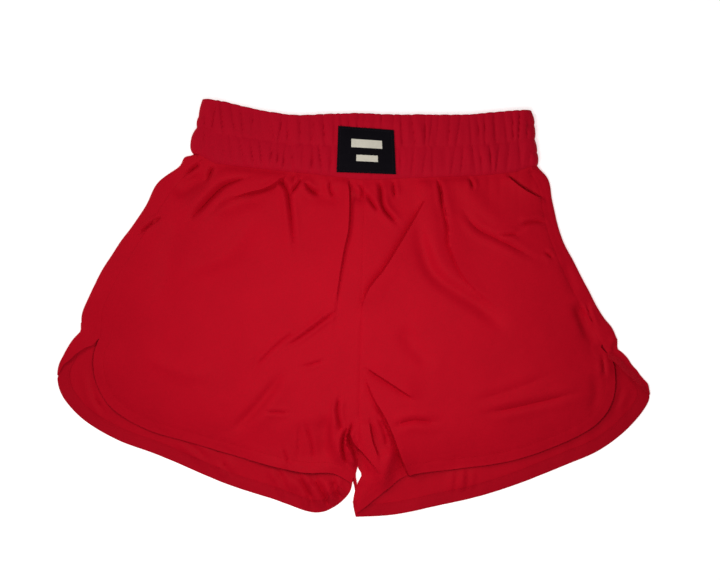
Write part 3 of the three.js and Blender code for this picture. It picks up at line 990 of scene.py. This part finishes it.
def wrap_sheet(side, fold, edge, out, reach, down):
    """The cloth from the floor round the side fold to its front edge, from rows as above."""
    end, slope, _ = FLAP_END[side]
    low = back_height(fold) - CLOTH_THICKNESS
    on_facing = np.clip(np.minimum(down, 1 - down) / 0.1, 0, 1)
    least = low + LEAST_RISE + FACING_RISE * on_facing

    def over(plan, inward):
        """The turned-over cloth's height; it falls along the flap and slopes out across it."""
        rise = slope * np.clip(down / 0.15, 0, 1) * np.sqrt(1 - down)
        rise = rise * (inward**FLAP_CROWN - 0.5)
        return np.maximum(front_height(plan) * (1 - down) + end * down + rise, least)

    high = over(fold, 0.0)
    columns = []
    for k in range(RETURN_TURNS + 1):
        angle = math.pi * (k / RETURN_TURNS - 0.5)
        plan = fold + out * (reach * math.cos(angle))[:, None]
        height = (low + high) / 2 + (high - low) / 2 * math.sin(angle)
        columns.append(np.column_stack([plan, height]))
    across = max(4, int(np.linalg.norm(fold - edge, axis=1).max() / 1.8))
    for k in range(1, across + 1):
        plan = fold + (edge - fold) * (k / across)
        columns.append(np.column_stack([plan, over(plan, k / across)]))
    grid = np.stack(columns, 1)
    faces = grid_faces(*grid.shape[:2])
    if side == "left":
        faces = [(b, c, d, a) for a, b, c, d in faces]
    else:
        faces = [(a, d, c, b) for a, b, c, d in faces]
    return grid.reshape(-1, 3), faces


def back_panel(side):
    """The back cloth: its layer on the floor, welded to the turn round the side fold."""
    outline = below_fold(side)
    beside = fold_rows(side)
    below = flap_rows(side, outline, *[row[-1] for row in beside[:4]])
    rows = [np.concatenate(pair) for pair in zip(beside, below)]
    wrap, wrap_faces = wrap_sheet(side, *rows)
    fold = rows[0]
    _, _, skipped, length, _ = SLITS[side]
    rest = outline[int(skipped + length) + 1 :]
    rest = np.vstack([fold[-1:], rest[:-1], fold[:1]])
    rest = parted(smooth_path(rest, COARSE_STEP), side)
    rest[rest[:, 1] > WAIST_LOW, 1] += WAIST_TUCK
    plan, faces = fill(np.vstack([fold, rest[1:-1]]), COARSE_STEP)
    height = back_height(plan)
    height[under_band(plan) & ~inside(plan, rim(f"{side}_back_panel", -1))] = BACK_WAIST_HEIGHT
    if side == "left":
        height += 0.5 * np.clip(-past_fold(plan) / 0.6, 0, 1)
    floor = np.column_stack([plan, height - CLOTH_THICKNESS])
    faces = [tuple(reversed(f)) for f in faces]
    faces += [tuple(i + len(floor) for i in f) for f in wrap_faces]
    points, faces = weld(np.vstack([floor, wrap]), faces)
    add_sheet(f"{side}_back_cloth", points, faces, CLOTH_THICKNESS, BODY, f"{side}_back_panel")


# ---------------------------------------------------------------- hems, seams and stitches

STITCH_LENGTH = 2.3
STITCH_SPACING = 3.0
STITCH_SIDES = 6
THREAD_RADIUS = 0.17
# Along one stitch: its place as a share of its length, its radius's share, and its sink.
STITCH_PROFILE = ((-0.5, 0.35, -0.16), (-0.32, 1.0, 0.0), (0.32, 1.0, 0.0), (0.5, 0.35, -0.16))
FACING_LIFT = 0.42  # from the back cloth up to its facing's outer face


def strip_piece(name, cad_node, height, finish, thickness=0.26, step=2.4, part=None):
    """A narrow strip of cloth on a CAD plate's outline, lying at that height."""
    ring = smooth_ring(rim(cad_node), step)
    if part:
        ring = parted(ring, part)
    plan, faces = fill(ring, step)
    add_sheet(name, np.column_stack([plan, height(plan)]), faces, thickness, finish, cad_node)


def stitches(name, path, finish, *nodes, normal=(0, 0, 1)):
    """A row of lock stitches along a path of points in space."""
    path = spaced(path, STITCH_SPACING)
    up = np.array(normal, float)
    points, faces = [], []
    tube = grid_faces(len(STITCH_PROFILE), STITCH_SIDES, True)
    tube.append(tuple(reversed(range(STITCH_SIDES))))
    last = (len(STITCH_PROFILE) - 1) * STITCH_SIDES
    tube.append(tuple(range(last, last + STITCH_SIDES)))
    angles = [2 * math.pi * k / STITCH_SIDES for k in range(STITCH_SIDES)]
    for a, b in zip(path, path[1:]):
        middle, along = (a + b) / 2, (b - a) / np.linalg.norm(b - a)
        across = np.cross(up, along)
        faces += [tuple(len(points) + i for i in face) for face in tube]
        for share, radius, sink in STITCH_PROFILE:
            centre = middle + along * share * STITCH_LENGTH + up * (THREAD_RADIUS * 0.6 + sink)
            for angle in angles:
                out = across * math.cos(angle) + up * math.sin(angle)
                points.append(centre + THREAD_RADIUS * radius * out)
    settle(add_mesh(name, np.array(points), faces, finish[0]), finish[1], *nodes)


def hem_pieces(side):
    strip_piece(f"{side}_front_hem_strip", f"{side}_front_hem_facing",
                lambda p: front_height(p) - CLOTH_THICKNESS - 0.12, FACING)
    strip_piece(f"{side}_back_hem_strip", f"{side}_back_hem_facing",
                lambda p: back_height(p) + FACING_LIFT, FACING, 0.36, 2.0)
    for which, spines, height, lift in (
        ("front", hem_spines, front_height, 0.0), ("back", back_spines, back_height, FACING_LIFT)
    ):
        row = spaced(smooth_line(spines[side], 2.0), 1.5)
        stitches(f"{side}_{which}_hem_thread", np.column_stack([row, height(row) + lift]),
                 THREAD, f"{side}_{which}_hem_stitching")


def seam_pieces():
    def under_front(p):
        return front_height(p) - (CLOTH_THICKNESS + 0.35)

    for side in SIDES:
        strip_piece(f"{side}_side_overlock", f"{side}_side_seam", under_front, THREAD)
        strip_piece(f"{side}_inseam_overlock", f"{side}_inseam", under_front, THREAD, step=0.9,
                    part=side)
    strip_piece("centre_front_overlock", "centre_front_seam", under_front, THREAD)
    strip_piece("centre_back_overlock", "centre_back_seam", lambda p: back_height(p) + 0.5,
                THREAD)


# ---------------------------------------------------------------- waistband

BAND_STEP = 1.0
BAND_TURNS = 10
PLY_VALLEY = 0.68  # from the band's middle surface to the bottom of its gathers
GATHER_HEIGHT = 2.6
INNER_VALLEY = 1.05  # the same two for the ply on the wearer's side
INNER_GATHER = 0.8
TOP_TURN = 1.6  # how far the folded top edge rises past the band's flat faces
TOP_ROWS = 8
ELASTIC_THICKNESS = 1.2  # in the CAD
BACK_GATHERS = 640.0  # the back ply's gathers are the front's, counted back from this x

front_middle = top_of("left_upper_elastic") - ELASTIC_THICKNESS / 2
back_middle = bottom_of("left_upper_elastic") + ELASTIC_THICKNESS / 2
turn_radius = (front_middle - back_middle) / 2
turn_height = (front_middle + back_middle) / 2


def far_corner(side, sign):
    ring = band_rims[side]
    return ring[np.argmax(ring @ np.array([sign, 1.0]))]


high_left = far_corner("right", -1)[0]
high_right = far_corner("left", 1)[0]


def band_columns():
    """Round the flattened waist: the share of the way across, how far each point looks
    sideways, and how far outward, from 1 on the front ply to -1 on the back ply."""
    across = int((BAND_RIGHT - BAND_LEFT) / BAND_STEP)
    angles = [math.pi * k / BAND_TURNS for k in range(BAND_TURNS)]
    made = [(k / across, 0.0, 1.0) for k in range(across)]
    made += [(1.0, math.sin(a), math.cos(a)) for a in angles]
    made += [(1 - k / across, 0.0, -1.0) for k in range(across)]
    made += [(0.0, -math.sin(a), -math.cos(a)) for a in angles]
    return np.array(made).T


SHARE, BULGE, OUTWARD = band_columns()
COUNT = len(SHARE)


def edge_function(which, left, right):
    """The band's lower or upper edge in plan at x, straight across the fold."""
    x = np.linspace(left + 0.2, right - 0.2, 120)
    middle = fold_line()[0][0] + 5
    y = np.where(x < middle, band_span(x, "right")[which], band_span(x, "left")[which])
    kept = (np.abs(x - middle) > 4.0) & (np.abs(y) < 1e8)
    return lambda at: np.interp(at, x[kept], y[kept])


band_low = edge_function(0, BAND_LEFT, BAND_RIGHT)
band_high = edge_function(1, high_left, high_right)


def band_plan(row):
    x_low = BAND_LEFT + (BAND_RIGHT - BAND_LEFT) * SHARE
    x_high = high_left + (high_right - high_left) * SHARE
    y_low = band_low(x_low)
    return x_low + (x_high - x_low) * row, y_low + (band_high(x_high) - y_low) * row


def band_point(row, away, rise=0.0):
    """Points of the band at a row, as a share of its height, that far off its middle."""
    x, y = band_plan(row)
    reach = turn_radius + away
    return np.column_stack([x + BULGE * reach, y + rise, turn_height + OUTWARD * reach])


label_ring = rim("front_label")
LABEL_LOW, LABEL_HIGH = label_ring.min(0), label_ring.max(0)


def into_label(x, y):
    """How far points lie inside the label's edges."""
    (left, low), (right, high) = LABEL_LOW, LABEL_HIGH
    return np.minimum.reduce([x - left, right - x, y - low, high - y])


def gather_field(row):
    """The height of the gathers, 0 to 1, at one row of the band."""
    x, y = band_plan(row)
    x = np.where(OUTWARD < 0, BACK_GATHERS - x, x)
    channel, within = (LOWER_CHANNEL, 2 * row) if row < 0.5 else (UPPER_CHANNEL, 2 * row - 1)
    hump = gathers(x, channel, 5.0 * (within - 0.5))
    hump += 0.12 * waves(np.stack([x, np.full(COUNT, row * 12)], 1), 4.0, 41.0)
    pinch = 0.35 + 0.65 * math.sin(math.pi * within) ** 0.6
    if row > 0.75:
        pinch = max(pinch, 0.62)
    under_label = np.where(OUTWARD > 0.5, np.clip((into_label(x, y) + 3) / 8, 0, 1), 0)
    return hump * pinch * (1 - 0.72 * under_label)


# How far the two side folds swell out by channel: side, lowest and highest row, and size.
LOBES = ((-1, 0.0, 0.5, 3.2), (-1, 0.5, 1.0, 0.8), (1, 0.0, 0.5, 1.0), (1, 0.5, 1.0, 1.6))


def lobe(row):
    """How far the band's two side folds swell out at a row."""
    swell = np.zeros(COUNT)
    for sign, low, high, size in LOBES:
        if low <= row <= high:
            arch = math.sin(math.pi * (row - low) / (high - low)) ** 0.7
            swell += size * arch * np.clip(BULGE * sign, 0, 1)
    return swell


def ply_away(row):
    """How far the outer ply's valleys lie from the band's middle surface."""
    dip = np.where(OUTWARD > 0, PLY_VALLEY + 0.6 * OUTWARD, PLY_VALLEY * 0.85)
    return PLY_VALLEY - dip * math.exp(-row / 0.035)


def both(what):
    return [f"{side}_{what}" for side in SIDES]


SEAM_SHARE = 0.014  # half the width, in band heights, of the dip along the middle stitches
SEAM_DIP = 0.3
LOW_FLAT, LOW_FLAT_SHARE = 0.75, 0.05  # how much lower the gathers are at the waist seam
INNER_DIP, INNER_DIP_SHARE = 0.9, 0.06  # how the inner ply closes in towards the waist seam
TOP_UNEVEN = 1.3  # how much the gathers change the height of the folded top edge


def middle_dip(field, share=1.0):
    """How far the row of stitches between the channels pulls the gathers in."""
    return SEAM_DIP * share * (0.3 + field)


def casing():
    """The waistband's cloth: the outer ply, the turn over the top, and the inner ply."""
    lines = []
    for row in np.linspace(0, 1, 40):
        field = gather_field(row)
        full = 1 - LOW_FLAT * math.exp(-row / LOW_FLAT_SHARE)
        away = ply_away(row) + GATHER_HEIGHT * field * full
        away -= middle_dip(field, math.exp(-(((row - 0.5) / SEAM_SHARE) ** 2)))
        line = band_point(row, away)
        line[:, 0] += lobe(row) * np.sign(BULGE)
        lines.append(line)
    field = gather_field(1.0)
    top = PLY_VALLEY + GATHER_HEIGHT * field
    inner = INNER_VALLEY + INNER_GATHER * field
    rise = TOP_TURN + TOP_UNEVEN * (field - 0.4)
    for k in range(1, TOP_ROWS):
        angle = math.pi * k / TOP_ROWS
        away = (top if math.cos(angle) > 0 else inner) * math.cos(angle)
        lines.append(band_point(1.0, away, math.sin(angle) * rise))
    for row in np.linspace(1, 0, 18):
        away = -INNER_VALLEY - INNER_GATHER * gather_field(row)
        away -= INNER_DIP * math.exp(-row / INNER_DIP_SHARE)
        lines.append(band_point(row, away))
    around = np.cumsum(step_lengths(closed(lines[8])[:, [0, 2]]))
    around = np.concatenate([[0], around[:-1]])
    uv = np.vstack([np.column_stack([around, np.full(COUNT, i * 2.0)]) for i in range(len(lines))])
    add_sheet("waistband_cloth", np.vstack(lines), grid_faces(len(lines), COUNT, True),
              CLOTH_THICKNESS, BAND, *both("waistband_casing"), uv=np.vstack([uv, uv]))


def band_ring(name, low, high, thickness, finish, wave, what, sink=0.0):
    """A closed loop of webbing or seam inside the casing."""
    ripple = wave * np.sin(np.arange(COUNT) * 1.1)
    lines = []
    for row in np.linspace(low, high, 6):
        away = np.minimum(thickness / 2, ply_away(row) - CLOTH_THICKNESS - 0.1) + ripple - sink
        lines.append(band_point(row, away))
    add_sheet(name, np.vstack(lines), grid_faces(len(lines), COUNT, True), thickness, finish,
              *both(what))


# Each elastic's loop and its lower and upper edge, as shares of the band's height.
ELASTICS = (("upper_elastic", 0.54, 0.93), ("lower_elastic", 0.10, 0.46))


def waistband():
    casing()
    for what, low, high in ELASTICS:
        band_ring(f"{what}_band", low, high, 0.9, ELASTIC, 0.05, what)
    band_ring("waist_overlock", 0.012, 0.04, 0.25, THREAD, 0.02, "waist_seam", sink=0.65)
    field = gather_field(0.5)
    path = band_point(0.5, PLY_VALLEY + GATHER_HEIGHT * field - middle_dip(field))
    half = len(path) // 2
    stitches("band_middle_thread_front", path[: half - BAND_TURNS], THREAD,
             *both("band_middle_stitching"))
    stitches("band_middle_thread_back", path[half:-BAND_TURNS], THREAD, normal=(0, 0, -1))


# ---------------------------------------------------------------- labels

LABEL_GRID = (36, 28)
LABEL_INSET = 0.045  # the stitching's distance from the edges, as a share of each side
# The two plain bars: their lower left and upper right corners as shares of the label.
BARS = {"upper": ((0.24, 0.56), (0.78, 0.74)), "lower": ((0.33, 0.26), (0.70, 0.40))}


def label_height(points):
    pressed = np.exp(-np.maximum(into_label(*points.T) - 1.0, 0) / 2.2)
    swell = 0.35 * waves(points * [1.0, 0.4], 17.0, 6.0)
    return top_of("front_label") + 0.2 + swell - 0.35 * pressed


def on_label(u, v):
    """Plan points at shares of the way along the label's lower edge and up its sides."""
    away = label_ring - label_ring.mean(0)
    a, b, c, d = label_ring[np.argsort(np.arctan2(away[:, 1], away[:, 0]))]
    u, v = u[:, None], v[:, None]
    return (a * (1 - u) + b * u) * (1 - v) + (d * (1 - u) + c * u) * v


def label_patch(name, low, high, lift, thickness, finish, *nodes):
    """A piece of the label between two corners, given as shares of its width and height."""
    across, up = LABEL_GRID
    u, v = np.meshgrid(np.linspace(low[0], high[0], across), np.linspace(low[1], high[1], up))
    plan = on_label(u.ravel(), v.ravel())
    points = np.column_stack([plan, label_height(plan) + lift])
    add_sheet(name, points, grid_faces(up, across), thickness, finish, *nodes)


def label():
    label_patch("front_label_cloth", (0, 0), (1, 1), 0, 0.55, LABEL, "front_label")
    for name, (low, high) in BARS.items():
        label_patch(f"label_bar_{name}", low, high, 0.07, 0.1, CREAM)
    low, high = LABEL_INSET, 1 - LABEL_INSET
    u, v = np.array([low, high, high, low, low]), np.array([low, low, high, high, low])
    line = spaced(on_label(u, v), 1.0)
    stitches("label_thread", np.column_stack([line, label_height(line)]), LABEL_THREAD,
             "label_stitching")


def care_label():
    strip_piece("care_label_tape", "care_label",
                lambda p: back_height(p) + 0.5 + 0.3 * waves(p, 12.0, 3.0), SATIN, 0.15, 2.0)


# ---------------------------------------------------------------- the cloth as it was cut

CUT_EASE = 1.03  # what the creases take up of a panel's length and width
RETURN_CUT = 27.0  # the back panel's cloth round its side fold, up to the seam
GATHERING = 1.25  # the casing's cut length for each length of relaxed waist


def ring_area(ring):
    x, y = ring.T
    return abs(x @ np.roll(y, -1) - y @ np.roll(x, -1)) / 2


def cut(name, size, held, rests_on=(), area=None, trims=()):
    """Takes a piece's cut width and length in millimetres and the rest, and does nothing with
    them; none of its arguments are used.
    """


def cut_panels(side):
    ring = front_rims[side]
    cut(f"{side}_front_cloth", np.ptp(ring, 0) * CUT_EASE, "laid", [f"{side}_back_cloth"],
        ring_area(ring) * CUT_EASE**2,
        [f"{side}_front_hem_thread", f"{side}_side_overlock", f"{side}_inseam_overlock"])
    ring = rim(f"{side}_back_panel", -1)
    turned = RETURN_CUT * step_lengths(returns[side][0]).sum()
    cut(f"{side}_back_cloth", np.ptp(ring, 0) + [RETURN_CUT, 0], "folded",
        area=ring_area(ring) + turned, trims=[f"{side}_back_hem_thread"])


def cut_strips(side):
    for which, spines in (("front", hem_spines), ("back", back_spines)):
        length = step_lengths(spines[side]).sum()
        width = ring_area(rim(f"{side}_{which}_hem_facing")) / length
        cut(f"{side}_{which}_hem_strip", (width, length), "laid", [f"{side}_{which}_cloth"])


def cut_waistband():
    across = BAND_RIGHT - BAND_LEFT
    around = 2 * across + 2 * math.pi * turn_radius
    middle = BAND_LEFT + across / 2
    tall = float(band_high(middle) - band_low(middle))
    loops = [f"{what}_band" for what, _, _ in ELASTICS]
    cut("waistband_cloth", (2 * tall + TOP_TURN * math.pi, around * GATHERING), "gathered", loops,
        trims=["band_middle_thread_front", "band_middle_thread_back", "waist_overlock"])
    for name, (_, low, high) in zip(loops, ELASTICS):
        cut(name, ((high - low) * tall, around), "folded", ["waistband_cloth"])


def cut_labels():
    cut("front_label_cloth", LABEL_HIGH - LABEL_LOW, "laid", ["waistband_cloth"],
        trims=["label_bar_upper", "label_bar_lower", "label_thread"])
    ring = rim("care_label")
    size = np.ptp(ring, 0)
    cut("care_label_tape", size, "laid", ["left_back_cloth"], min(ring_area(ring), size.prod()))


# ---------------------------------------------------------------- building

add_camera()
add_studio()

for build in (front_panel, back_panel, hem_pieces):
    for side in SIDES:
        build(side)
seam_pieces()
waistband()
label()
care_label()
for side in SIDES:
    cut_panels(side)
    cut_strips(side)
cut_waistband()
cut_labels()
